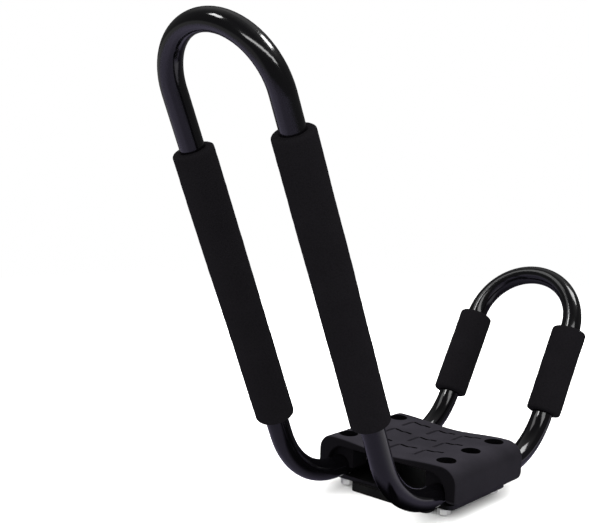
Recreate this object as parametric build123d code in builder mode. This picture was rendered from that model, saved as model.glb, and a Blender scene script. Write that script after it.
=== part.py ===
"""J-style kayak carrier: two bent-tube hoops with foam sleeves in a moulded base.

X runs along the crossbar from the tall hoop (-X) to the short hoop (+X), Y from the right legs (-Y) to
the left legs (+Y), Z up. The origin is the middle of the foot, level with the lower ends of the bolts.
"""
import os
from math import cos, radians, sin, sqrt

from build123d import *

# Hoops: one tube size, one bend die, legs this far apart, top bends slightly flattened.
tube_od = 25.4
tube_wall = 1.2
hoop_spacing = 139.0
bend_radius = 100.0
arc_flat = 0.12
tall_lean_angle = 24.0
tall_leg = 407.0
short_lean_angle = 31.0
short_leg = 113.0

# Foam sleeves on the legs.
sleeve_od = 42.6
sleeve_round = 3.5
tall_sleeve_length = 320.0
tall_sleeve_start_left = 27.0
tall_sleeve_start_right = 51.5
short_sleeve_length = short_leg

# Fasteners through the base.
bolt_d = 8.0
bolt_length = 50.0
bolt_tip = 1.5
hex_across_flats = 13.0
head_height = 5.3
nut_height = 6.5
hex_bevel = 1.0
bolt_bevel = 0.8
washer_od = 16.0
washer_bore = 8.4
washer_thickness = 1.6
clearance_d = 9.0

# Base cover: the tunnel clears the tubes, and the flanks, roof, bolts and bends follow from it.
base_length = 142.0
bend_clearance = 8.0
run_half = base_length / 2 + bend_clearance
bolt_inset = 21.0
bolt_pitch = base_length / 2 - bolt_inset
cavity_clearance = 0.8
cavity_width = hoop_spacing + tube_od + 2 * cavity_clearance
flank_wall = 14.0
base_width = cavity_width + 2 * flank_wall
shoulder_run = 21.0
shoulder_drop = 19.0
shoulder_span = base_width - 2 * shoulder_run
shoulder_rise = 35.8
top_dip = 4.5
roof_wall = 6.0
cavity_rise = shoulder_rise - top_dip - roof_wall
cavity_corner = 21.0
flank_above_plate = 6.0
flank_corner = 8.0
saddle_length = 26.0
saddle_wall = 5.0
post_length = 22.0
recess_d = 22.0
end_round = 2.5
mouth_round = 1.5

# Tread grooves in the dished top.
groove_width = 4.2
groove_depth = 1.8
groove_pitch_x = 39.5
groove_pitch_y = 36.5
groove_offset_y = -2.0
groove_leg_x = 24.0
groove_leg_y = 25.0
groove_wave = 2.5
groove_corner = 3.5

# Plate and crossbar pad, which clears the washers.
plate_inset_x = 12.0
plate_length = base_length - 2 * plate_inset_x
plate_inset_y = 13.0
plate_width = base_width - 2 * plate_inset_y
plate_thickness = 5.0
plate_corner = 8.0
pad_overhang = 4.5
pad_length = plate_length + 2 * pad_overhang
pad_clearance = 6.5
pad_width = hoop_spacing - washer_od - 2 * pad_clearance
pad_groove_d = 3.0
pad_lands = 7

# Heights of the stack, from the lower ends of the bolts up.
tube_r = tube_od / 2
leg_y = hoop_spacing / 2
plate_bottom = bolt_tip + nut_height + washer_thickness
plate_top = plate_bottom + plate_thickness
tube_z = plate_top + tube_r
washer_seat = bolt_length - washer_thickness
shoulder_top = tube_z + shoulder_rise
cavity_top = tube_z + cavity_rise
corners = {
    "near_right": (-bolt_pitch, -leg_y),
    "near_left": (-bolt_pitch, leg_y),
    "far_right": (bolt_pitch, -leg_y),
    "far_left": (bolt_pitch, leg_y),
}


def bend_point(side, turn, y):
    """Centreline point of a bottom bend after turning so many degrees up from level."""
    phi = radians(turn)
    return (side * (run_half + bend_radius * sin(phi)), y, tube_z + bend_radius * (1 - cos(phi)))


def leg_point(side, lean, along, y):
    """Centreline point on a straight leg, so far above the end of its bend."""
    x, _, z = bend_point(side, 90 - lean, y)
    tilt = radians(lean)
    return (x + side * along * sin(tilt), y, z + along * cos(tilt))


def arc_plane(side, lean, leg, angle):
    """Plane square to the top bend of a hoop, so many degrees round it from the right leg."""
    tilt, turn = radians(lean), radians(angle)
    up = Vector(side * sin(tilt), 0, cos(tilt))
    outward = Vector(0, -cos(turn), 0) + up * sin(turn)
    along = Vector(0, sin(turn), 0) + up * cos(turn)
    return Plane(origin=Vector(*leg_point(side, lean, leg, 0)) + outward * leg_y, x_dir=outward, z_dir=along)


def leg_plane(side, lean, along, y):
    """Plane square to a leg, so far above the end of its bend."""
    tilt = radians(lean)
    upward = (side * sin(tilt), 0, cos(tilt))
    return Plane(origin=leg_point(side, lean, along, y), x_dir=(0, 1, 0), z_dir=upward)


os.makedirs("parts", exist_ok=True)

# The two hoops: level ends in the base, bends, straight legs and a half-circle top with an oval section.
hoops = {"tall_hoop": (-1, tall_lean_angle, tall_leg), "short_hoop": (1, short_lean_angle, short_leg)}
for name, (side, lean, leg) in hoops.items():
    turn = 90 - lean
    with BuildPart() as hoop:
        for radius, mode in ((tube_r, Mode.ADD), (tube_r - tube_wall, Mode.SUBTRACT)):
            for y in (-leg_y, leg_y):
                start = (side * post_length / 2, y, tube_z)
                with BuildLine() as path:
                    Line(start, bend_point(side, 0, y))
                    ThreePointArc(*(bend_point(side, t, y) for t in (0, turn / 2, turn)))
                    Line(leg_point(side, lean, 0, y), leg_point(side, lean, leg, y))
                with BuildSketch(Plane(origin=start, x_dir=(0, 1, 0), z_dir=(side, 0, 0))):
                    Circle(radius)
                sweep(path=path.wires()[0], mode=mode)
            with BuildLine() as path:
                ThreePointArc(*(arc_plane(side, lean, leg, angle).origin for angle in (0, 90, 180)))
            for angle, flat in ((0, 0), (30, arc_flat), (90, arc_flat), (150, arc_flat), (180, 0)):
                with BuildSketch(arc_plane(side, lean, leg, angle)):
                    Ellipse(radius * (1 - flat), radius * (1 + flat / 2)) if flat else Circle(radius)
            sweep(path=path.wires()[0], multisection=True, mode=mode)
        with Locations((side * bolt_pitch, -leg_y, tube_z), (side * bolt_pitch, leg_y, tube_z)):
            Cylinder(clearance_d / 2, 2 * tube_od, mode=Mode.SUBTRACT)
    hoop.part.label = name
    export_step(hoop.part, f"parts/{name}.step")

# Foam sleeves, slid on the straight legs.
sleeves = {
    "tall_sleeve_left": (-1, tall_lean_angle, tall_sleeve_start_left, tall_sleeve_length, leg_y),
    "tall_sleeve_right": (-1, tall_lean_angle, tall_sleeve_start_right, tall_sleeve_length, -leg_y),
    "short_sleeve_left": (1, short_lean_angle, 0, short_sleeve_length, leg_y),
    "short_sleeve_right": (1, short_lean_angle, 0, short_sleeve_length, -leg_y),
}
for name, (side, lean, begin, length, y) in sleeves.items():
    with BuildPart() as sleeve:
        with BuildSketch(leg_plane(side, lean, begin, y)):
            Circle(sleeve_od / 2)
            Circle(tube_r, mode=Mode.SUBTRACT)
        extrude(amount=length)
        rims = [e for e in sleeve.edges().filter_by(GeomType.CIRCLE) if abs(e.radius - sleeve_od / 2) < 0.01]
        fillet(rims, sleeve_round)
    sleeve.part.label = name
    export_step(sleeve.part, f"parts/{name}.step")

# Base cover: a tunnel over the tube ends with rolled shoulders and a dished top.
flank_bottom = plate_top + flank_above_plate
flank_top = shoulder_top - shoulder_drop
half_span = shoulder_span / 2
half_width = base_width / 2
half_cavity = cavity_width / 2
corner_y = half_cavity - cavity_corner
end_plane = Plane(origin=(-base_length / 2, 0, 0), x_dir=(0, 1, 0), z_dir=(1, 0, 0))
saddle_y = leg_y - tube_r - saddle_wall
saddle_width = half_cavity + 1 - saddle_y
saddle_mid = saddle_y + saddle_width / 2
saddle_height = cavity_top + 1 - tube_z
post_height = cavity_top + 1 - plate_top
from_floor = (Align.CENTER, Align.CENTER, Align.MIN)
bolt_rows = [(x, y) for x in (-bolt_pitch, 0, bolt_pitch) for y in (-leg_y, leg_y)]
with BuildPart() as cover:
    with BuildSketch(end_plane):
        with BuildLine():
            Line((-half_width, flank_bottom), (-half_width, flank_top))
            EllipticalCenterArc((-half_span, flank_top), shoulder_run, shoulder_drop, 90, arc_size=90)
            Spline(
                (-half_span, shoulder_top),
                (0, shoulder_top - top_dip),
                (half_span, shoulder_top),
                tangents=((1, 0), (1, 0)),
            )
            EllipticalCenterArc((half_span, flank_top), shoulder_run, shoulder_drop, 0, arc_size=90)
            Line((half_width, flank_top), (half_width, flank_bottom))
            Line((half_width, flank_bottom), (-half_width, flank_bottom))
        make_face()
    extrude(amount=base_length)
    with BuildSketch(Plane.XZ) as side_view:
        with Locations((0, flank_bottom)):
            Rectangle(base_length, shoulder_top, align=(Align.CENTER, Align.MIN))
        fillet(side_view.vertices().group_by(Axis.Y)[0], flank_corner)
    extrude(amount=half_width, both=True, mode=Mode.INTERSECT)
    lengthwise = cover.edges().filter_by(Axis.X).group_by(Axis.Z)
    smooth = cover.edges().filter_by(Axis.Y) + [e for level in lengthwise[1:] for e in level]
    fillet(cover.edges() - smooth, end_round)
    with BuildSketch(end_plane):
        with BuildLine():
            Line((-half_cavity, flank_bottom), (-half_cavity, tube_z))
            EllipticalCenterArc((-corner_y, tube_z), cavity_corner, cavity_rise, 90, arc_size=90)
            Line((-corner_y, cavity_top), (corner_y, cavity_top))
            EllipticalCenterArc((corner_y, tube_z), cavity_corner, cavity_rise, 0, arc_size=90)
            Line((half_cavity, tube_z), (half_cavity, flank_bottom))
            Line((half_cavity, flank_bottom), (-half_cavity, flank_bottom))
        make_face()
    extrude(amount=base_length, mode=Mode.SUBTRACT)
    mouths = [e for e in cover.edges(Select.LAST) if abs(abs(e.center().X) - base_length / 2) < 0.01]
    fillet(mouths, mouth_round)
    # Saddles sit on the tubes at the outer bolts, solid posts stand between the tube ends.
    for x, y in corners.values():
        with Locations((x, saddle_mid * (1 if y > 0 else -1), tube_z + saddle_height / 2)):
            Box(saddle_length, saddle_width, saddle_height)
    for s in (-1, 1):
        with Locations((0, s * saddle_mid, plate_top + post_height / 2)):
            Box(post_length, saddle_width, post_height)
    bore_length = base_length / 2 - post_length / 2
    for x in (-1, 1):
        for y in (-leg_y, leg_y):
            with Locations((x * (post_length + bore_length) / 2, y, tube_z)):
                Cylinder(tube_r, bore_length, rotation=(0, 90, 0), mode=Mode.SUBTRACT)
    # Six recesses with clearance holes.
    for x, y in bolt_rows:
        with Locations((x, y, washer_seat)):
            Cylinder(recess_d / 2, shoulder_rise, align=from_floor, mode=Mode.SUBTRACT)
        with Locations((x, y, shoulder_top / 2)):
            Cylinder(clearance_d / 2, shoulder_top, mode=Mode.SUBTRACT)

# Tread grooves: three rows of three wavy corners, cut to one depth below the dished top.
tip_x = groove_leg_x / 2
tip_y = groove_leg_y / 2
with BuildSketch() as hook:
    with BuildLine():
        FilletPolyline(
            (-tip_x, tip_y),
            (tip_x, tip_y),
            (tip_x - groove_wave, 0),
            (tip_x, -2 * groove_wave),
            (tip_x, -tip_y),
            radius=groove_corner,
        )
    trace(line_width=groove_width)
with BuildPart() as tread:
    with BuildSketch(end_plane):
        with BuildLine():
            Spline(
                (-half_span, shoulder_top),
                (0, shoulder_top - top_dip),
                (half_span, shoulder_top),
                tangents=((1, 0), (1, 0)),
            )
            Line((half_span, shoulder_top), (half_span, shoulder_top - groove_depth))
            Spline(
                (half_span, shoulder_top - groove_depth),
                (0, shoulder_top - top_dip - groove_depth),
                (-half_span, shoulder_top - groove_depth),
                tangents=((-1, 0), (-1, 0)),
            )
            Line((-half_span, shoulder_top - groove_depth), (-half_span, shoulder_top))
        make_face()
    extrude(amount=base_length)
    with BuildSketch(Plane.XY.offset(cavity_top)):
        with Locations((0, groove_offset_y)):
            with GridLocations(groove_pitch_x, groove_pitch_y, 3, 3):
                add(hook.sketch)
    extrude(amount=shoulder_rise, mode=Mode.INTERSECT)
with BuildPart() as base_cover:
    add(cover.part)
    add(tread.part, mode=Mode.SUBTRACT)
base_cover.part.label = "base_cover"
export_step(base_cover.part, "parts/base_cover.step")

# Plate under the tubes, drilled on the six bolt axes.
with BuildPart() as base_plate:
    with BuildSketch(Plane.XY.offset(plate_bottom)):
        RectangleRounded(plate_length, plate_width, plate_corner)
        with Locations(*bolt_rows):
            Circle(clearance_d / 2, mode=Mode.SUBTRACT)
    extrude(amount=plate_thickness)
base_plate.part.label = "base_plate"
export_step(base_plate.part, "parts/base_plate.step")

# Crossbar pad under the plate, level with the bolt ends and grooved across the bar.
with BuildPart() as crossbar_pad:
    with BuildSketch():
        RectangleRounded(pad_length, pad_width, plate_corner)
    extrude(amount=plate_bottom)
    with GridLocations(pad_length / pad_lands, pad_width, pad_lands - 1, 1):
        Cylinder(pad_groove_d / 2, 2 * pad_width, rotation=(90, 0, 0), mode=Mode.SUBTRACT)
crossbar_pad.part.label = "crossbar_pad"
export_step(crossbar_pad.part, "parts/crossbar_pad.step")

# Bolts, washers and nuts at the four outer holes.
hex_corner = hex_across_flats / sqrt(3)
bevel_drop = hex_bevel / sqrt(3)
for name, (x, y) in corners.items():
    with BuildPart() as bolt:
        with BuildSketch(Plane((x, y, bolt_length))):
            RegularPolygon(hex_corner, 6)
        extrude(amount=head_height)
        with BuildSketch(Plane((x, y, bolt_length), x_dir=(1, 0, 0), z_dir=(0, -1, 0))):
            Polygon(
                (0, 0),
                (hex_corner, 0),
                (hex_corner, head_height - bevel_drop),
                (hex_corner - hex_bevel, head_height),
                (0, head_height),
                align=None,
            )
        revolve(axis=Axis((x, y, 0), (0, 0, 1)), mode=Mode.INTERSECT)
        with BuildSketch(Plane((x, y, 0))):
            Circle(bolt_d / 2)
        extrude(amount=bolt_length)
        chamfer(bolt.edges().group_by(Axis.Z)[0], bolt_bevel)
    bolt.part.label = f"bolt_{name}"
    export_step(bolt.part, f"parts/bolt_{name}.step")

    with BuildPart() as nut:
        with BuildSketch(Plane((x, y, bolt_tip))):
            RegularPolygon(hex_corner, 6)
        extrude(amount=nut_height)
        with BuildSketch(Plane((x, y, bolt_tip), x_dir=(1, 0, 0), z_dir=(0, -1, 0))):
            Polygon(
                (bolt_d / 2, 0),
                (hex_corner - hex_bevel, 0),
                (hex_corner, bevel_drop),
                (hex_corner, nut_height - bevel_drop),
                (hex_corner - hex_bevel, nut_height),
                (bolt_d / 2, nut_height),
                align=None,
            )
        revolve(axis=Axis((x, y, 0), (0, 0, 1)), mode=Mode.INTERSECT)
    nut.part.label = f"nut_{name}"
    export_step(nut.part, f"parts/nut_{name}.step")

    for level, bottom in (("head", washer_seat), ("plate", bolt_tip + nut_height)):
        with BuildPart() as washer:
            with BuildSketch(Plane((x, y, bottom))):
                Circle(washer_od / 2)
                Circle(washer_bore / 2, mode=Mode.SUBTRACT)
            extrude(amount=washer_thickness)
        washer.part.label = f"washer_{level}_{name}"
        export_step(washer.part, f"parts/washer_{level}_{name}.step")
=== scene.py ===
"""Dresses a J-style kayak carrier: tube hoops, foam sleeves, moulded base, plate, pad and fasteners.

Sizes are in metres in the carrier's frame: X runs along the crossbar from the tall hoop (-X) to the short
hoop (+X), Y from the right legs (-Y) to the left legs (+Y), Z up from the foot.
"""

import logging
import math
from abc import ABC, abstractmethod
from dataclasses import dataclass, field
from enum import Enum
from typing import Any, Iterator, Mapping, Optional, Sequence, Union

import bpy
import numpy as np
from mathutils import Matrix, Vector, noise


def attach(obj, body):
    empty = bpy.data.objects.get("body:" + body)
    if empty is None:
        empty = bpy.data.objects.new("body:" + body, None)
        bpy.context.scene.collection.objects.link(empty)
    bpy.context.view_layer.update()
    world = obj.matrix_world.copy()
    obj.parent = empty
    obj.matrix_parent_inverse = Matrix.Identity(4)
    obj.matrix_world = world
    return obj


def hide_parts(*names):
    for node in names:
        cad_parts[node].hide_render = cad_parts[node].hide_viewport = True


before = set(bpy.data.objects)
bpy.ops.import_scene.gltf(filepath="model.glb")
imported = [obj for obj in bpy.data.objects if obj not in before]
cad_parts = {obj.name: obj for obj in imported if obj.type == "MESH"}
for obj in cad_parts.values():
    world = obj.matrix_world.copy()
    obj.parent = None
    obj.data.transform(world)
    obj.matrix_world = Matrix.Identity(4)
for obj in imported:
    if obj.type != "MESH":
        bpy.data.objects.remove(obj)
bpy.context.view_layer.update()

log = logging.getLogger("carrier")

Colour = tuple[float, float, float]
Key = Union[int, str]
Span = tuple[float, float]

BODY = "root"
BLACK: Colour = (0.0, 0.0, 0.0)
WHITE: Colour = (1.0, 1.0, 1.0)
MM = 0.001

# Distance between recesses along X. The outer ones hold the bolts.
BOLT_PITCH = 50.0 * MM
# Distance of legs, bolts and recesses from the middle along Y.
LEG_OFFSET = 69.5 * MM


class Slot(Enum):
    """Names of two material slots of the record. No piece in this script takes them."""

    FOAM = "foam"
    ZINC = "zinc"


class Hoop(Enum):
    """The two hoops, each with its side of the base along X."""

    TALL = -1
    SHORT = 1


class Hand(Enum):
    """The two legs of a hoop, each with its side along Y."""

    LEFT = 1
    RIGHT = -1


class Corner(Enum):
    """The four outer bolt places, each with its signs along X and Y."""

    NEAR_RIGHT = (-1, -1)
    NEAR_LEFT = (-1, 1)
    FAR_RIGHT = (1, -1)
    FAR_LEFT = (1, 1)


class Linking(Enum):
    """Whether a light falls on its pieces alone or on all but them."""

    ONLY = "INCLUDE"
    ALL_BUT = "EXCLUDE"


@dataclass(frozen=True)
class Speckle:
    """A noise pattern: waves to the metre, octaves, and how rough the octaves are."""

    scale: float
    detail: float = 2.0
    roughness: float = 0.5


@dataclass(frozen=True)
class Relief:
    """How a pattern stands out of a surface: strength of the bump, and its depth."""

    strength: float
    depth: float


class Value:
    """An output socket of a node graph. Arithmetic on it adds Math nodes."""

    def __init__(self, graph: "Graph", socket: bpy.types.NodeSocket) -> None:
        """Keeps the socket and the graph that it belongs to."""
        self.graph = graph
        self.socket = socket

    def _math(self, operation: str, *terms: Any) -> "Value":
        """Adds one Math node that works on terms."""
        return self.graph.add("ShaderNodeMath", {"operation": operation}, dict(enumerate(terms)))

    def __add__(self, other: Any) -> "Value":
        """Sum of two values."""
        return self._math("ADD", self, other)

    def __radd__(self, other: Any) -> "Value":
        """Sum with a number on the left."""
        return self._math("ADD", other, self)

    def __sub__(self, other: Any) -> "Value":
        """Difference of two values."""
        return self._math("SUBTRACT", self, other)

    def __rsub__(self, other: Any) -> "Value":
        """Difference from a number on the left."""
        return self._math("SUBTRACT", other, self)

    def __mul__(self, other: Any) -> "Value":
        """Product of two values."""
        return self._math("MULTIPLY", self, other)

    def __rmul__(self, other: Any) -> "Value":
        """Product with a number on the left."""
        return self._math("MULTIPLY", other, self)

    def size(self) -> "Value":
        """The value without its sign."""
        return self._math("ABSOLUTE", self)

    def nearest(self, step: float) -> "Value":
        """How far the value is from the nearest multiple of a step, with its sign."""
        return self._math("WRAP", self, step / 2, -step / 2)

    def rise(self, low: float, high: float) -> "Value":
        """A smooth step from 0 at low to 1 at high.

        Args:
            low: Value at which the step starts.
            high: Value at which it is complete.

        Returns:
            The stepped value.
        """
        inputs = {"Value": self, "From Min": low, "From Max": high}
        return self.graph.add("ShaderNodeMapRange", {"interpolation_type": "SMOOTHSTEP"}, inputs)


class Graph:
    """A node tree that is written as expressions."""

    def __init__(self, tree: bpy.types.NodeTree) -> None:
        """Empties the tree and keeps it."""
        tree.nodes.clear()
        self.tree = tree

    def add(
        self,
        kind: str,
        settings: Optional[Mapping[str, Any]] = None,
        inputs: Optional[Mapping[Key, Any]] = None,
        out: Key = 0,
    ) -> Value:
        """Adds any node.

        Args:
            kind: The node's Blender type.
            settings: The node's own properties, set before its sockets.
            inputs: Values or links of its input sockets, by name or number.
            out: The output socket that is wanted.

        Returns:
            That output socket.
        """
        node = self.tree.nodes.new(kind)
        for name, value in (settings or {}).items():
            setattr(node, name, value)
        for key, value in (inputs or {}).items():
            if isinstance(value, Value):
                self.tree.links.new(value.socket, node.inputs[key])
            else:
                node.inputs[key].default_value = value
        return Value(self, node.outputs[out] if len(node.outputs) else None)

    def place(self) -> Value:
        """Position on the piece, in metres."""
        return self.add("ShaderNodeTexCoord", out="Object")

    def facing(self) -> Value:
        """Direction that the surface faces."""
        return self.add("ShaderNodeNewGeometry", out="Normal")

    def parts(self, vector: Value) -> tuple[Value, Value, Value]:
        """Splits a vector.

        Args:
            vector: A place or direction.

        Returns:
            Its three components.
        """
        split = self.add("ShaderNodeSeparateXYZ", {}, {0: vector})
        x, y, z = (Value(self, socket) for socket in split.socket.node.outputs)
        return x, y, z

    def scaled(self, place: Value, factors: Sequence[float]) -> Value:
        """A position stretched by a factor on each axis."""
        return self.add("ShaderNodeVectorMath", {"operation": "MULTIPLY"}, {0: place, 1: tuple(factors)})

    def noise(self, place: Value, speckle: Speckle) -> Value:
        """Smooth noise from 0 to 1.

        Args:
            place: Position on the piece.
            speckle: The pattern's sizes.

        Returns:
            The noise there.
        """
        inputs = {
            "Vector": place,
            "Scale": speckle.scale,
            "Detail": speckle.detail,
            "Roughness": speckle.roughness,
        }
        return self.add("ShaderNodeTexNoise", {}, inputs)

    def cells(self, place: Value, scale: float) -> Value:
        """Distance from the nearest of scattered points, so many to the metre."""
        return self.add("ShaderNodeTexVoronoi", {}, {"Vector": place, "Scale": scale}, out="Distance")

    def blend(self, factor: Any, first: Any, second: Any) -> Value:
        """Mixes two colours.

        Args:
            factor: 0 for the first colour, 1 for the second.
            first: A colour or a link.
            second: A colour or a link.

        Returns:
            The colour between them.
        """
        as_rgba = [value if isinstance(value, Value) else (*value, 1.0) for value in (first, second)]
        inputs = {0: factor, 6: as_rgba[0], 7: as_rgba[1]}
        return self.add("ShaderNodeMix", {"data_type": "RGBA"}, inputs, out=2)

    def bump(self, height: Value, relief: Relief) -> Value:
        """Surface normal over a relief."""
        inputs = {"Height": height, "Strength": relief.strength, "Distance": relief.depth}
        return self.add("ShaderNodeBump", {}, inputs)

    def edges(self, radius: float, turn: Span = (0.02, 0.25), samples: int = 6) -> Value:
        """Mask that is 1 on outside and inside edges and 0 on flats.

        Args:
            radius: How far from an edge the mask reaches.
            turn: How much the rounded normal differs where the mask starts and where it is complete.
            samples: Rays that look for an edge.

        Returns:
            The mask.
        """
        rounded = self.add("ShaderNodeBevel", {"samples": samples}, {"Radius": radius})
        inputs = {0: rounded, 1: self.facing()}
        alike = self.add("ShaderNodeVectorMath", {"operation": "DOT_PRODUCT"}, inputs, out="Value")
        return (1.0 - alike).rise(*turn)


@dataclass(frozen=True)
class Finish(ABC):
    """How one kind of surface looks.

    A pattern's step is where its mask starts and is complete, its tint is its share of the light tone, its
    dulling is what it adds to the roughness, and its height is its share of the relief.
    """

    dark: Colour
    light: Colour

    @abstractmethod
    def surface(self, graph: Graph) -> Mapping[str, Any]:
        """Gives the shader's inputs.

        Args:
            graph: Graph of the new material.

        Returns:
            Values or links by the name of the shader's socket.
        """

    def material(self) -> bpy.types.Material:
        """Makes the material of this finish, once.

        Returns:
            The material.
        """
        name = f"finish_{type(self).__name__}"
        made = bpy.data.materials.get(name)
        if made is None:
            made = bpy.data.materials.new(name)
            made.use_nodes = True
            graph = Graph(made.node_tree)
            shader = graph.add("ShaderNodeBsdfPrincipled", {}, self.surface(graph))
            graph.add("ShaderNodeOutputMaterial", {}, {"Surface": shader})
        return made

    def put_on(self, piece: bpy.types.Object) -> None:
        """Gives a piece this finish in place of what it had.

        Args:
            piece: The piece to finish.
        """
        if not piece.material_slots:
            piece.data.materials.append(None)
        for slot in piece.material_slots:
            slot.material = self.material()


@dataclass(frozen=True)
class TubePaint(Finish):
    """Gloss black stoving paint with a faint orange peel, patches of haze and specks of dust."""

    dark: Colour = (0.0044, 0.0040, 0.0055)
    light: Colour = (0.0092, 0.0085, 0.0110)
    haze: Speckle = Speckle(16.0, 4.0)
    haze_step: Span = (0.35, 0.75)
    haze_tint: float = 0.7
    haze_dulling: float = 0.07
    dust: Speckle = Speckle(2100.0, 1.0)
    dust_step: Span = (0.66, 0.78)
    dust_tint: float = 0.3
    dust_dulling: float = 0.10
    peel: Speckle = Speckle(260.0)
    relief: Relief = Relief(0.10, 0.4 * MM)
    roughness: float = 0.10
    coat: float = 0.25
    coat_roughness: float = 0.05

    def surface(self, graph: Graph) -> Mapping[str, Any]:
        """Peel in the relief, haze and dust in the roughness and the tone.

        Args:
            graph: Graph of the new material.

        Returns:
            Values or links by the name of the shader's socket.
        """
        place = graph.place()
        haze = graph.noise(place, self.haze).rise(*self.haze_step)
        peel = graph.noise(place, self.peel)
        dust = graph.noise(place, self.dust).rise(*self.dust_step)
        tone = self.haze_tint * haze + self.dust_tint * dust
        return {
            "Base Color": graph.blend(tone, self.dark, self.light),
            "Roughness": self.roughness + self.haze_dulling * haze + self.dust_dulling * dust,
            "Normal": graph.bump(peel, self.relief),
            "Coat Weight": self.coat,
            "Coat Roughness": self.coat_roughness,
        }


@dataclass(frozen=True)
class FoamSkin(Finish):
    """Black closed-cell foam: small burst cells, soft mottling, no gloss."""

    dark: Colour = (0.0162, 0.0149, 0.0175)
    light: Colour = (0.0395, 0.0364, 0.0427)
    cell_scale: float = 620.0
    cell_tint: float = 0.35
    cell_height: float = 0.55
    fuzz: Speckle = Speckle(1500.0, 3.0, 0.65)
    fuzz_tint: float = 0.40
    fuzz_height: float = 0.45
    fuzz_dulling: float = 0.12
    patch: Speckle = Speckle(30.0, 3.0)
    patch_tint: float = 0.35
    tint_drop: float = 0.10
    relief: Relief = Relief(0.75, 0.7 * MM)
    roughness: float = 0.84
    shine: float = 0.04

    def surface(self, graph: Graph) -> Mapping[str, Any]:
        """Cells and fuzz in the relief, tone lighter on the cell walls.

        Args:
            graph: Graph of the new material.

        Returns:
            Values or links by the name of the shader's socket.
        """
        place = graph.place()
        walls = 1.0 - graph.cells(place, self.cell_scale)
        fuzz = graph.noise(place, self.fuzz)
        patch = graph.noise(place, self.patch)
        tone = self.patch_tint * patch + self.fuzz_tint * fuzz + self.cell_tint * walls - self.tint_drop
        return {
            "Base Color": graph.blend(tone, self.dark, self.light),
            "Roughness": self.roughness + self.fuzz_dulling * fuzz,
            "Normal": graph.bump(self.cell_height * walls + self.fuzz_height * fuzz, self.relief),
            "Specular IOR Level": self.shine,
        }


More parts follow.
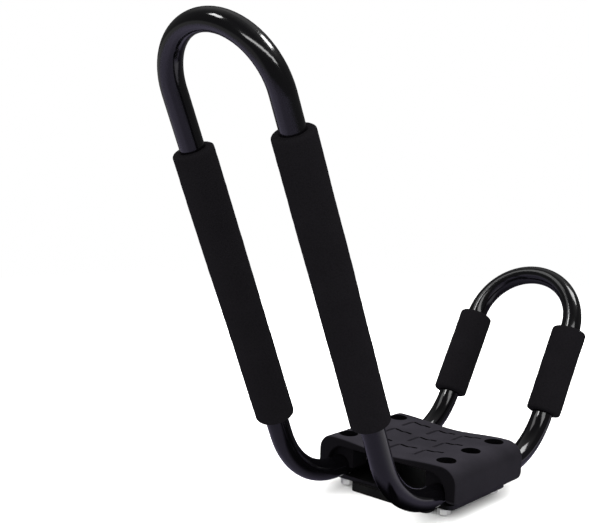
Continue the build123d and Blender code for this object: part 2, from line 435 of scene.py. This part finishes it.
@dataclass(frozen=True)
class CoverPlastic(Finish):
    """Dark grey moulded plastic: grained, with painted light on the groove walls and painted shade at the
    ends, in the tunnel and in the recesses.
    """

    dark: Colour = (0.0370, 0.0343, 0.0428)
    light: Colour = (0.0606, 0.0557, 0.0693)
    # Painted shade: the colour of the ends and the tunnel of the cover.
    end_and_tunnel_shade: Colour = (0.0165, 0.0150, 0.0184)
    # Painted shade: the colour inside the bolt recesses.
    recess_shade: Colour = (0.0055, 0.0051, 0.0062)
    # Painted light: the groove walls are lightened against their shade.
    groove_painted_light: Colour = (0.105, 0.097, 0.119)
    grain: Speckle = Speckle(1250.0, 2.0, 0.6)
    grain_tint: float = 0.30
    grain_height: float = 0.6
    pit_scale: float = 780.0
    pit_height: float = 0.4
    cloud: Speckle = Speckle(24.0, 4.0)
    cloud_step: Span = (0.25, 0.75)
    cloud_tint: float = 0.55
    cloud_dulling: float = 0.10
    # Edge wear and painted highlight: patches along the edges are lightened.
    wear: Speckle = Speckle(90.0, 3.0)
    wear_step: Span = (0.30, 0.65)
    wear_reach: float = 1.4 * MM
    wear_and_highlight_tint: float = 0.45
    wear_polish: float = 0.10
    relief: Relief = Relief(0.35, 0.5 * MM)
    roughness: float = 0.58
    shine: float = 0.06
    end_facing: Span = (0.80, 0.97)
    tunnel_side: Span = (83.2 * MM, 84.2 * MM)
    tunnel_roof: Span = (52.9 * MM, 53.9 * MM)
    recess: Span = (11.2 * MM, 11.5 * MM)
    top: float = 63.1 * MM
    top_dip: float = 4.5 * MM
    dish_half: float = 76.0 * MM
    groove_facing: Span = (0.3, 0.7)
    groove_floor: Span = (2.3 * MM, 2.8 * MM)
    tread_end: Span = (65.0 * MM, 66.0 * MM)

    def ends_and_tunnel(self, graph: Graph, place: Value) -> Value:
        """Marks the two ends and the tunnel, where the colour is darkened to painted shade.

        Args:
            graph: Graph of the new material.
            place: Position on the cover.

        Returns:
            Mask that is 1 there.
        """
        _, y, z = graph.parts(place)
        facing_along, _, _ = graph.parts(graph.facing())
        ends = facing_along.size().rise(*self.end_facing)
        tunnel = (1.0 - y.size().rise(*self.tunnel_side)) * (1.0 - z.rise(*self.tunnel_roof))
        return 1.0 - (1.0 - ends) * (1.0 - tunnel)

    def recesses(self, graph: Graph, place: Value) -> Value:
        """Marks the six bolt recesses, where the colour is darkened to painted shade.

        Args:
            graph: Graph of the new material.
            place: Position on the cover.

        Returns:
            Mask that is 1 in them.
        """
        x, y, _ = graph.parts(place)
        off_x, off_y = x.nearest(BOLT_PITCH), y.size() - LEG_OFFSET
        inner, outer = self.recess
        return 1.0 - (off_x * off_x + off_y * off_y).rise(inner**2, outer**2)

    def groove_walls(self, graph: Graph, place: Value) -> Value:
        """Marks the walls of the tread grooves, which follow the dished top and are lightened with painted
        light.

        Args:
            graph: Graph of the new material.
            place: Position on the cover.

        Returns:
            Mask that is 1 on them.
        """
        x, y, z = graph.parts(place)
        _, _, facing_up = graph.parts(graph.facing())
        dish = self.top - self.top_dip * (1.0 - y.size().rise(0.0, self.dish_half))
        near_top = 1.0 - (dish - z).rise(*self.groove_floor)
        off_ends = 1.0 - x.size().rise(*self.tread_end)
        return (1.0 - facing_up.rise(*self.groove_facing)) * near_top * off_ends

    def surface(self, graph: Graph) -> Mapping[str, Any]:
        """Grain in the relief, clouding in the tone, wear and a painted highlight on the edges, painted
        light and shade.

        Args:
            graph: Graph of the new material.

        Returns:
            Values or links by the name of the shader's socket.
        """
        place = graph.place()
        grain = graph.noise(place, self.grain)
        pits = graph.cells(place, self.pit_scale)
        cloud = graph.noise(place, self.cloud).rise(*self.cloud_step)
        worn_and_lit = graph.edges(self.wear_reach) * graph.noise(place, self.wear).rise(*self.wear_step)
        tone = self.cloud_tint * cloud + self.grain_tint * grain + self.wear_and_highlight_tint * worn_and_lit
        grained = graph.blend(tone, self.dark, self.light)
        # Painted light on the groove walls, painted shade at the ends, in the tunnel and in the recesses.
        tread = graph.blend(self.groove_walls(graph, place), grained, self.groove_painted_light)
        outside = graph.blend(self.ends_and_tunnel(graph, place), tread, self.end_and_tunnel_shade)
        return {
            "Base Color": graph.blend(self.recesses(graph, place), outside, self.recess_shade),
            "Roughness": self.roughness + self.cloud_dulling * cloud - self.wear_polish * worn_and_lit,
            "Normal": graph.bump(self.grain_height * grain + self.pit_height * pits, self.relief),
            "Specular IOR Level": self.shine,
        }


@dataclass(frozen=True)
class PlatePaint(Finish):
    """Satin black powder coat, rubbed at the edges."""

    dark: Colour = (0.0070, 0.0068, 0.0072)
    light: Colour = (0.0300, 0.0295, 0.0300)
    powder: Speckle = Speckle(900.0)
    cloud: Speckle = Speckle(28.0, 3.0)
    cloud_tint: float = 0.25
    cloud_dulling: float = 0.14
    rub: Speckle = Speckle(140.0, 3.0)
    rub_step: Span = (0.35, 0.6)
    rub_reach: float = 1.2 * MM
    rub_tint: float = 0.75
    relief: Relief = Relief(0.25, 0.4 * MM)
    roughness: float = 0.36

    def surface(self, graph: Graph) -> Mapping[str, Any]:
        """Powder texture in the relief, rubbed edges in the tone.

        Args:
            graph: Graph of the new material.

        Returns:
            Values or links by the name of the shader's socket.
        """
        place = graph.place()
        powder = graph.noise(place, self.powder)
        cloud = graph.noise(place, self.cloud)
        rubbed = graph.edges(self.rub_reach) * graph.noise(place, self.rub).rise(*self.rub_step)
        tone = self.cloud_tint * cloud + self.rub_tint * rubbed
        return {
            "Base Color": graph.blend(tone, self.dark, self.light),
            "Roughness": self.roughness + self.cloud_dulling * cloud,
            "Normal": graph.bump(powder, self.relief),
        }


@dataclass(frozen=True)
class PadRubber(Finish):
    """Black moulded rubber with a dusty bloom."""

    dark: Colour = (0.0075, 0.0075, 0.0075)
    light: Colour = (0.0260, 0.0258, 0.0250)
    grain: Speckle = Speckle(1600.0)
    grain_tint: float = 0.2
    bloom: Speckle = Speckle(45.0, 4.0)
    bloom_step: Span = (0.35, 0.8)
    bloom_tint: float = 0.6
    bloom_dulling: float = 0.16
    relief: Relief = Relief(0.30, 0.3 * MM)
    roughness: float = 0.72
    shine: float = 0.35

    def surface(self, graph: Graph) -> Mapping[str, Any]:
        """Fine grain in the relief, bloom in the tone and the roughness.

        Args:
            graph: Graph of the new material.

        Returns:
            Values or links by the name of the shader's socket.
        """
        place = graph.place()
        grain = graph.noise(place, self.grain)
        bloom = graph.noise(place, self.bloom).rise(*self.bloom_step)
        tone = self.bloom_tint * bloom + self.grain_tint * grain
        return {
            "Base Color": graph.blend(tone, self.dark, self.light),
            "Roughness": self.roughness + self.bloom_dulling * bloom,
            "Normal": graph.bump(grain, self.relief),
            "Specular IOR Level": self.shine,
        }


@dataclass(frozen=True)
class Zinc(Finish):
    """Bright zinc plate with a faint passivated tint."""

    dark: Colour = (0.72, 0.73, 0.76)
    light: Colour = (0.90, 0.89, 0.85)
    tint: Speckle = Speckle(210.0, 3.0)
    tint_dulling: float = 0.18
    lines: Speckle = Speckle(900.0)
    lines_squeeze: tuple[float, float, float] = (1.0, 1.0, 9.0)
    lines_dulling: float = 0.06
    relief: Relief = Relief(0.12, 0.2 * MM)
    metallic: float = 0.5
    roughness: float = 0.36

    def surface(self, graph: Graph) -> Mapping[str, Any]:
        """Tint and dullness in patches, fine lines in the relief.

        Args:
            graph: Graph of the new material.

        Returns:
            Values or links by the name of the shader's socket.
        """
        place = graph.place()
        tint = graph.noise(place, self.tint)
        lines = graph.noise(graph.scaled(place, self.lines_squeeze), self.lines)
        return {
            "Base Color": graph.blend(tint, self.dark, self.light),
            "Metallic": self.metallic,
            "Roughness": self.roughness + self.tint_dulling * tint + self.lines_dulling * lines,
            "Normal": graph.bump(lines, self.relief),
        }


@dataclass(frozen=True)
class Shade:
    """An oval patch of painted shadow on the floor, by its middle and its half sizes along X and Y."""

    x: float
    y: float
    length: float
    width: float

    def clear(self, along: Value, across: Value, edge: Span) -> Value:
        """Mask that is 0 in the patch and 1 around it.

        Args:
            along: Place along X.
            across: Place along Y.
            edge: Squared share of the half sizes at which the mask starts and is complete.

        Returns:
            The mask.
        """
        off_x, off_y = (along - self.x) * (1.0 / self.length), (across - self.y) * (1.0 / self.width)
        return (off_x * off_x + off_y * off_y).rise(*edge)


@dataclass(frozen=True)
class FloorPaint(Finish):
    """White studio floor that fades out at its rim.

    The camera sees it lit from within like a light table. Gloss mirrors its paint alone, which is painted
    light and shade: dark, painted lighter beyond the tall hoop on the left and palest along the carrier's
    right side, with painted shadow near black towards the short hoop and black at the foot of the tall
    hoop.
    """

    # Painted light and shade for gloss: lighter tones where the floor is lit, black where it lies in
    # shadow.
    dark: Colour = (0.106, 0.097, 0.139)
    light: Colour = (0.232, 0.224, 0.250)
    left_painted_light: Colour = (0.166, 0.152, 0.218)
    white: Colour = (0.95, 0.95, 0.94)
    glow: float = 0.05
    roughness: float = 0.7
    left_edge: Span = (-0.20, 0.15)
    left_end: Span = (-0.50, -0.28)
    right_edge: Span = (-0.24, -0.14)
    right_start: Span = (-0.25, 0.05)
    right_end: Span = (0.34, 0.54)
    far_edge: Span = (0.14, 0.36)
    # Painted shadow of the carrier towards the short hoop.
    far_painted_shadow: float = 0.85
    # Painted contact shadows at the foot of the tall hoop.
    shades: tuple[Shade, ...] = (Shade(-0.112, -0.034, 0.072, 0.068), Shade(-0.158, -0.100, 0.018, 0.030))
    shade_edge: Span = (0.5, 1.9)
    fade: Span = (0.85, 1.75)

    def mirrored(self, graph: Graph, place: Value) -> Value:
        """The paint that gloss sees, which is painted light and shade of the floor.

        Args:
            graph: Graph of the new material.
            place: Position on the floor.

        Returns:
            Its colour.
        """
        along, across, _ = graph.parts(place)
        left = across.rise(*self.left_edge) * (1.0 - along.rise(*self.left_end))
        lengthwise = along.rise(*self.right_start) * (1.0 - along.rise(*self.right_end))
        right = (1.0 - across.rise(*self.right_edge)) * lengthwise
        paint = graph.blend(left, self.dark, self.left_painted_light)
        paint = graph.blend(self.far_painted_shadow * along.rise(*self.far_edge), paint, BLACK)
        paint = graph.blend(right, paint, self.light)
        for shade in self.shades:
            paint = graph.blend(shade.clear(along, across, self.shade_edge), BLACK, paint)
        return paint

    def surface(self, graph: Graph) -> Mapping[str, Any]:
        """White for the camera, painted for gloss, see-through towards the rim.

        Args:
            graph: Graph of the new material.

        Returns:
            Values or links by the name of the shader's socket.
        """
        place = graph.place()
        reach = graph.add("ShaderNodeVectorMath", {"operation": "LENGTH"}, {0: place}, out="Value")
        seen = graph.add("ShaderNodeLightPath", out="Is Camera Ray")
        return {
            "Base Color": graph.blend(seen, self.mirrored(graph, place), self.white),
            "Roughness": self.roughness,
            "Alpha": 1.0 - reach.rise(*self.fade),
            "Emission Color": graph.blend(seen, BLACK, WHITE),
            "Emission Strength": self.glow,
            "Specular IOR Level": 0.0,
        }


def mesh_piece(
    name: str, points: np.ndarray, faces: Sequence[Sequence[int]], smooth: bool = True
) -> bpy.types.Object:
    """Makes a mesh object from points and faces.

    Args:
        name: Name of the piece.
        points: One row of x, y, z for each vertex.
        faces: Vertex numbers of each face.
        smooth: Whether faces are shaded smooth.

    Returns:
        The new object, linked to the scene.
    """
    mesh = bpy.data.meshes.new(name)
    mesh.from_pydata([tuple(p) for p in points], [], [tuple(f) for f in faces])
    mesh.validate()
    mesh.polygons.foreach_set("use_smooth", [smooth] * len(mesh.polygons))
    mesh.update()
    piece = bpy.data.objects.new(name, mesh)
    bpy.context.scene.collection.objects.link(piece)
    return piece


def ring_faces(rows: int, around: int, closed: bool) -> list[tuple[int, int, int, int]]:
    """Quads between rings of vertices.

    Args:
        rows: Number of rings.
        around: Vertices in each ring.
        closed: Whether the last ring joins the first.

    Returns:
        The quads, facing out where rings go up and vertices go anticlockwise.
    """
    found = []
    for row in range(rows if closed else rows - 1):
        low, high = row * around, (row + 1) % rows * around
        for k in range(around):
            step = (k + 1) % around
            found.append((low + k, low + step, high + step, high + k))
    return found


@dataclass(frozen=True)
class LegLine:
    """Centreline of a hoop's legs, from the end of the bottom bend upwards."""

    run_half: float = 79.0 * MM
    bend_radius: float = 100.0 * MM
    tube_height: float = 27.3 * MM

    def axis(self, hoop: Hoop, lean: float, hand: Hand) -> tuple[Vector, Vector]:
        """Start and direction of one leg.

        Args:
            hoop: The hoop that the leg is on.
            lean: Its angle from upright, in degrees.
            hand: The leg.

        Returns:
            The point where the bend ends and the unit vector up the leg.
        """
        turn, tilt = math.radians(90.0 - lean), math.radians(lean)
        start = Vector((
            hoop.value * (self.run_half + self.bend_radius * math.sin(turn)),
            hand.value * LEG_OFFSET,
            self.tube_height + self.bend_radius * (1.0 - math.cos(turn)),
        ))
        return start, Vector((hoop.value * math.sin(tilt), 0.0, math.cos(tilt)))


@dataclass(frozen=True)
class Wave:
    """One size of unevenness: waves to the metre and their height."""

    scale: float
    height: float


@dataclass
class FoamSleeve:
    """One foam tube pushed on a leg: uneven skin, rounded rims and hand-cut ends."""

    hoop: Hoop
    hand: Hand
    begin: float
    lean: float
    length: float
    seed: int
    legs: LegLine = LegLine()
    radius: float = 21.3 * MM
    bore: float = 12.8 * MM
    rim: float = 3.5 * MM
    pitch: float = 1.15 * MM
    around: int = 116
    face_rows: int = 5
    rim_rows: int = 6
    bore_rows: int = 8
    waves: tuple[Wave, ...] = (Wave(17.0, 0.35 * MM), Wave(85.0, 0.20 * MM), Wave(300.0, 0.12 * MM))
    wave_shift: tuple[float, float, float] = (3.7, 1.9, 5.3)
    skew: float = 0.8 * MM
    low_cut_turn: float = 1.1
    high_cut_turn: float = 2.3
    high_cut_start: float = 1.0
    fill: float = 0.95

    @property
    def node(self) -> str:
        """Name of the sleeve's node."""
        return f"{self.hoop.name}_sleeve_{self.hand.name}".lower()

    def profile(self) -> list[tuple[float, float, float, float]]:
        """Section of the sleeve's wall, as a closed loop.

        Returns:
            Place along the leg, radius, and the two parts of the outward normal, for each point.
        """
        inner, straight, top = self.radius - self.rim, self.length - 2 * self.rim, self.length
        face = [self.bore + (inner - self.bore) * k / self.face_rows for k in range(self.face_rows)]
        turns = [math.radians(90.0 * k / self.rim_rows) for k in range(self.rim_rows + 1)]
        rounding = [
            (self.rim * (1 - math.cos(t)), inner + self.rim * math.sin(t), math.cos(t), math.sin(t))
            for t in turns
        ]
        rows = max(2, round(straight / self.pitch))
        loop = [(0.0, r, -1.0, 0.0) for r in face]
        loop += [(s, r, -end_part, wall_part) for s, r, end_part, wall_part in rounding]
        loop += [(self.rim + straight * k / rows, self.radius, 0.0, 1.0) for k in range(1, rows)]
        loop += [(top - s, r, end_part, wall_part) for s, r, end_part, wall_part in reversed(rounding)]
        loop += [(top, r, 1.0, 0.0) for r in reversed(face)]
        loop += [(top * (1 - k / self.bore_rows), self.bore, 0.0, 0.0) for k in range(1, self.bore_rows)]
        return loop

    def unevenness(self, at: Vector) -> float:
        """How far the skin stands proud.

        Args:
            at: A point of the even skin.

        Returns:
            The distance there.
        """
        shift = Vector([self.seed * part for part in self.wave_shift])
        return sum(wave.height * noise.noise(at * wave.scale + shift) for wave in self.waves)

    def build(self) -> bpy.types.Object:
        """Makes the sleeve's mesh on its leg.

        Returns:
            The new piece, which stands for its plain solid.
        """
        start, up = self.legs.axis(self.hoop, self.lean, self.hand)
        start = start + up * self.begin
        across = Vector((0.0, 1.0, 0.0))
        third = up.cross(across)
        cut_low = self.seed * self.low_cut_turn
        cut_high = self.seed * self.high_cut_turn + self.high_cut_start
        loop = self.profile()
        points = []
        for along, radius, end_part, wall_part in loop:
            share = along / self.length
            for k in range(self.around):
                angle = 2 * math.pi * k / self.around
                radial = across * math.cos(angle) + third * math.sin(angle)
                slant = (1 - share) * math.cos(angle - cut_low) + share * math.cos(angle - cut_high)
                cut = self.skew * slant * radius / self.radius * abs(2 * share - 1)
                at = start + up * (along + cut) + radial * radius
                out = up * end_part + radial * wall_part
                points.append(at + out * self.unevenness(at))
        faces = ring_faces(len(loop), self.around, True)
        piece = mesh_piece(f"foam_{self.node}", np.array(points), faces)
        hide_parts(self.node)
        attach(piece, BODY)
        return piece

    def dress(self, piece: bpy.types.Object) -> None:
        """Gives the sleeve its foam finish."""
        FoamSkin().put_on(piece)


@dataclass
class Sleeves:
    """The four foam sleeves."""

    tall_lean: float = 24.0
    tall_length: float = 320.0 * MM
    tall_begin_left: float = 27.0 * MM
    tall_begin_right: float = 51.5 * MM
    short_lean: float = 31.0
    short_length: float = 113.0 * MM
    short_begin: float = 0.0

    def each(self) -> Iterator[FoamSleeve]:
        """Lists the sleeves, each with a seed of its own.

        Returns:
            The sleeves in order.
        """
        tall, short = (self.tall_lean, self.tall_length), (self.short_lean, self.short_length)
        places = (
            (Hoop.TALL, Hand.LEFT, self.tall_begin_left, *tall),
            (Hoop.TALL, Hand.RIGHT, self.tall_begin_right, *tall),
            (Hoop.SHORT, Hand.LEFT, self.short_begin, *short),
            (Hoop.SHORT, Hand.RIGHT, self.short_begin, *short),
        )
        for seed, place in enumerate(places, start=1):
            yield FoamSleeve(*place, seed=seed)

    def build(self) -> Iterator[bpy.types.Object]:
        """Builds and dresses each sleeve.

        Returns:
            The finished pieces.
        """
        for sleeve in self.each():
            piece = sleeve.build()
            sleeve.dress(piece)
            yield piece


@dataclass
class Hoops:
    """The two bent-tube hoops, as the CAD model shapes them."""

    nodes: tuple[str, ...] = ("tall_hoop", "short_hoop")

    def build(self) -> Iterator[bpy.types.Object]:
        """Paints both hoops.

        Returns:
            The finished pieces.
        """
        for name in self.nodes:
            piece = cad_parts[name]
            TubePaint().put_on(piece)
            yield piece


@dataclass
class Base:
    """Cover, plate and pad, as the CAD model shapes them."""

    finishes: Mapping[str, Finish] = field(
        default_factory=lambda: {
            "base_cover": CoverPlastic(),
            "base_plate": PlatePaint(),
            "crossbar_pad": PadRubber(),
        }
    )

    def build(self) -> Iterator[bpy.types.Object]:
        """Dresses the three nodes.

        Returns:
            The finished pieces.
        """
        for name, finish in self.finishes.items():
            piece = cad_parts[name]
            finish.put_on(piece)
            yield piece


@dataclass
class HexBolt:
    """One bolt with a rolled thread at its lower end and a bevelled hexagon head."""

    corner: Corner
    radius: float = 4.0 * MM
    root: float = 3.42 * MM
    lead: float = 1.25 * MM
    flank_slope: float = 1.3
    thread_top: float = 22.0 * MM
    tip_radius: float = 2.98 * MM
    tip_slope: float = 0.9
    head_bottom: float = 50.0 * MM
    head_height: float = 5.3 * MM
    flats: float = 13.0 * MM
    bevel: float = 1.0 * MM
    bevel_angle: float = 30.0
    top_inset: float = 0.02 * MM
    around: int = 48
    around_flat: int = 8
    rows_per_lead: int = 8

    @property
    def node(self) -> str:
        """Name of the bolt's node."""
        return f"bolt_{self.corner.name.lower()}"

    def shank(self) -> tuple[list[Vector], list[tuple[int, ...]]]:
        """Threaded shank with a tapered tip, closed at both ends.

        Returns:
            Its points and faces.
        """
        rows = round(self.thread_top / self.lead * self.rows_per_lead)
        heights = [self.thread_top * k / rows for k in range(rows + 1)]
        heights.append(self.head_bottom + self.head_height / 2)
        points = []
        for height in heights:
            threaded = height < self.thread_top - self.lead
            taper = self.tip_radius + self.tip_slope * height
            for k in range(self.around):
                turn = k / self.around
                wave = abs(((height / self.lead - turn) % 1.0) * 2.0 - 1.0)
                depth = (self.radius - self.root) * min(1.0, wave * self.flank_slope) * threaded
                reach = min(self.radius - depth, taper)
                angle = 2 * math.pi * turn
                points.append(Vector((reach * math.cos(angle), reach * math.sin(angle), height)))
        faces: list[tuple[int, ...]] = list(ring_faces(len(heights), self.around, False))
        last = (len(heights) - 1) * self.around
        faces.append(tuple(reversed(range(self.around))))
        faces.append(tuple(range(last, last + self.around)))
        return points, faces

    def head(self) -> tuple[list[Vector], list[tuple[int, ...]]]:
        """Hexagon head whose top corners are turned off in a cone.

        Returns:
            Its points and faces.
        """
        half_flat = math.pi / 6
        corner = self.flats / math.sqrt(3.0)
        cone, slope = corner - self.bevel, math.tan(math.radians(self.bevel_angle))
        low, high = self.head_bottom, self.head_bottom + self.head_height
        sides = 6 * self.around_flat
        rows: tuple[list[Vector], ...] = ([], [], [])
        for k in range(sides):
            angle = 2 * math.pi * k / sides
            off = half_flat - abs((angle + half_flat) % (2 * half_flat) - half_flat)
            reach = corner * math.cos(half_flat) / math.cos(off)
            drop = max(0.0, reach - cone) * slope
            inner = min(reach, cone) - self.top_inset
            for row, radius, height in zip(rows, (reach, reach, inner), (low, high - drop, high)):
                row.append(Vector((radius * math.cos(angle), radius * math.sin(angle), height)))
        points = [point for row in rows for point in row]
        faces: list[tuple[int, ...]] = list(ring_faces(len(rows), sides, False))
        faces.append(tuple(reversed(range(sides))))
        faces.append(tuple(range(len(points) - sides, len(points))))
        return points, faces

    def build(self) -> bpy.types.Object:
        """Makes the bolt in its hole.

        Returns:
            The new piece, which stands for its plain solid.
        """
        sign_x, sign_y = self.corner.value
        origin = Vector((sign_x * BOLT_PITCH, sign_y * LEG_OFFSET, 0.0))
        shank_points, shank_faces = self.shank()
        head_points, head_faces = self.head()
        points = [p + origin for p in (*shank_points, *head_points)]
        faces = shank_faces + [tuple(i + len(shank_points) for i in face) for face in head_faces]
        piece = mesh_piece(f"threaded_{self.node}", np.array(points), faces, smooth=False)
        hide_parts(self.node)
        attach(piece, BODY)
        return piece

    def dress(self, piece: bpy.types.Object) -> None:
        """Gives the bolt its zinc plate."""
        Zinc().put_on(piece)


@dataclass
class Fasteners:
    """Bolts, nuts and washers at the four outer holes."""

    shared: tuple[str, ...] = ("nut", "washer_head", "washer_plate")

    def build(self) -> Iterator[bpy.types.Object]:
        """Builds the bolts and plates everything with zinc.

        Returns:
            The finished pieces.
        """
        for corner in Corner:
            bolt = HexBolt(corner)
            piece = bolt.build()
            bolt.dress(piece)
            yield piece
            for kind in self.shared:
                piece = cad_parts[f"{kind}_{corner.name.lower()}"]
                Zinc().put_on(piece)
                yield piece


FLOOR = ("studio_floor",)
COVER = ("base_cover",)
NUTS = tuple(f"nut_{corner.name.lower()}" for corner in Corner)
FOAM = tuple(f"foam_{hoop.name}_sleeve_{hand.name}".lower() for hoop in Hoop for hand in Hand)
SHORT_HOOP = ("short_hoop",)
COVER_FOAM_AND_SHORT_HOOP = (*COVER, *SHORT_HOOP, *FOAM)


def toward(azimuth: float, elevation: float) -> Vector:
    """Unit vector from the carrier towards a compass angle and height, in degrees."""
    a, e = math.radians(azimuth), math.radians(elevation)
    return Vector((math.sin(a) * math.cos(e), -math.cos(a) * math.cos(e), math.sin(e)))


@dataclass(frozen=True)
class Softbox:
    """One rectangular studio light, aimed at the carrier, for gloss to mirror or for matt surfaces.

    Its angles, in degrees, are where the carrier sees it.
    """

    name: str
    azimuth: float
    elevation: float
    distance: float
    width: float
    height: float
    radiance: float
    linking: Linking
    pieces: tuple[str, ...]
    matt: bool = False
    aim: tuple[float, float, float] = (-0.15, 0.0, 0.35)

    def build(self) -> None:
        """Hangs the light where its angles say and links it to the pieces."""
        lamp = bpy.data.lights.new(self.name, "AREA")
        lamp.shape = "RECTANGLE"
        lamp.size, lamp.size_y = self.width, self.height
        lamp.energy = self.radiance * math.pi * self.width * self.height
        away = toward(self.azimuth, self.elevation)
        holder = bpy.data.objects.new(self.name, lamp)
        holder.location = Vector(self.aim) + away * self.distance
        holder.rotation_mode = "QUATERNION"
        holder.rotation_quaternion = (-away).to_track_quat("-Z", "Y")
        holder.visible_camera = False
        holder.visible_diffuse, holder.visible_glossy = self.matt, not self.matt
        linked = bpy.data.collections.new(f"{self.name}_nodes")
        for piece in self.pieces:
            linked.objects.link(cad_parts.get(piece) or bpy.data.objects[piece])
        for entry in linked.collection_objects:
            entry.light_linking.link_state = self.linking.value
        holder.light_linking.receiver_collection = linked
        bpy.context.scene.collection.objects.link(holder)


@dataclass(frozen=True)
class PhotoCamera:
    """The photograph's camera: place, angles and focal length."""

    place: tuple[float, float, float] = (-1.05238, -0.71782, 0.44808)
    azimuth: float = -48.687
    elevation: float = 8.041
    roll: float = 1.589
    focal_px: float = 1100.57
    image_width: int = 589
    sensor: float = 36.0
    near: float = 0.01
    far: float = 50.0

    def build(self) -> None:
        """Makes the camera and gives it to the scene."""
        back = toward(self.azimuth, self.elevation)
        right = Vector((0.0, 0.0, 1.0)).cross(back).normalized()
        up = back.cross(right)
        r = math.radians(self.roll)
        right, up = right * math.cos(r) + up * math.sin(r), up * math.cos(r) - right * math.sin(r)
        lens = bpy.data.cameras.new("photo_camera")
        lens.sensor_fit = "HORIZONTAL"
        lens.sensor_width = self.sensor
        lens.lens = self.focal_px * self.sensor / self.image_width
        lens.clip_start, lens.clip_end = self.near, self.far
        camera = bpy.data.objects.new("photo_camera", lens)
        turned = Matrix((right, up, back)).transposed().to_4x4()
        camera.matrix_world = Matrix.Translation(self.place) @ turned
        bpy.context.scene.collection.objects.link(camera)
        bpy.context.scene.camera = camera


@dataclass(frozen=True)
class Studio:
    """White floor, white dome, softboxes and camera.

    Where the ceiling and the wall glow is given by the unit vector that gloss looks along.
    """

    floor_half: float = 1.8
    floor_drop: float = 0.2 * MM
    dome_mean: float = 0.38
    dome_slope: float = 0.16
    room: float = 0.08
    ceiling_glow: float = 0.28
    ceiling_height: Span = (0.45, 0.80)
    ceiling_start: Span = (-0.3, 0.6)
    wall_glow: float = 0.22
    wall_top: Span = (-0.15, 0.05)
    wall_start: Span = (-0.35, 0.05)
    wall_end: Span = (0.0, 0.4)
    softboxes: tuple[Softbox, ...] = (
        Softbox("wash", 0.0, 90.0, 2.0, 7.00, 7.00, 3.2, Linking.ONLY, FLOOR, matt=True),
        Softbox("over", 180.0, 62.0, 2.5, 1.20, 1.20, 9.2, Linking.ONLY, COVER, matt=True),
        Softbox("under", -50.0, 4.0, 2.5, 1.00, 0.30, 56.0, Linking.ONLY, NUTS, matt=True),
        Softbox("left", -122.0, 54.5, 2.5, 0.64, 0.50, 13.0, Linking.ALL_BUT, COVER_FOAM_AND_SHORT_HOOP),
        Softbox("right", 48.0, 55.0, 2.5, 1.20, 0.55, 16.0, Linking.ALL_BUT, COVER_FOAM_AND_SHORT_HOOP),
        Softbox("front", -36.0, 36.5, 2.5, 3.30, 0.36, 8.0, Linking.ALL_BUT, COVER_FOAM_AND_SHORT_HOOP),
        Softbox("left_low", -117.0, 47.0, 2.5, 0.53, 0.48, 14.0, Linking.ONLY, SHORT_HOOP),
        Softbox("left_wide", -152.0, 53.0, 2.5, 0.97, 1.60, 1.8, Linking.ONLY, SHORT_HOOP),
        Softbox("right_low", 58.0, 45.0, 2.5, 0.88, 1.25, 8.0, Linking.ONLY, SHORT_HOOP),
        Softbox("front_low", -40.0, 34.0, 2.5, 3.50, 0.70, 3.5, Linking.ONLY, SHORT_HOOP),
    )
    camera: PhotoCamera = PhotoCamera()

    def floor(self) -> None:
        """Lays the floor just under the foot, for the camera and for gloss to see."""
        h, z = self.floor_half, -self.floor_drop
        sheet = np.array([(-h, -h, z), (h, -h, z), (h, h, z), (-h, h, z)])
        piece = mesh_piece("studio_floor", sheet, [(0, 1, 2, 3)])
        FloorPaint().put_on(piece)
        piece.visible_diffuse = piece.visible_shadow = False

    def surround(self) -> None:
        """Makes the room: a white dome for the camera and matt surfaces, a dim hall for gloss."""
        world = bpy.data.worlds.new("studio_room")
        world.use_nodes = True
        graph = Graph(world.node_tree)
        x, y, z = graph.parts(graph.add("ShaderNodeTexCoord", out="Generated"))
        dome = self.dome_mean + self.dome_slope * z
        ceiling = self.ceiling_glow * z.rise(*self.ceiling_height) * x.rise(*self.ceiling_start)
        low_wall = self.wall_glow * (1.0 - z.rise(*self.wall_top))
        wall = low_wall * y.rise(*self.wall_start) * (1.0 - x.rise(*self.wall_end))
        hall = self.room + ceiling + wall
        matt = dome + (hall - dome) * graph.add("ShaderNodeLightPath", out="Is Glossy Ray")
        strength = matt + (1.0 - matt) * graph.add("ShaderNodeLightPath", out="Is Camera Ray")
        light = graph.add("ShaderNodeBackground", {}, {"Color": (*WHITE, 1.0), "Strength": strength})
        graph.add("ShaderNodeOutputWorld", {}, {"Surface": light})
        bpy.context.scene.world = world

    def build(self) -> None:
        """Sets the whole studio up."""
        self.floor()
        self.surround()
        for softbox in self.softboxes:
            softbox.build()
        self.camera.build()
        bpy.context.scene.view_settings.view_transform = "Standard"


def main() -> None:
    """Builds the sub-assemblies in order, then lights and frames them."""
    logging.basicConfig(level=logging.INFO, format="%(name)s: %(message)s")
    for assembly in (Hoops(), Sleeves(), Base(), Fasteners()):
        for piece in assembly.build():
            log.info("%s: %s, %d faces", type(assembly).__name__, piece.name, len(piece.data.polygons))
    studio = Studio()
    studio.build()
    log.info("Studio: floor, room, camera and %d softboxes", len(studio.softboxes))


if __name__ == "__main__":
    main()
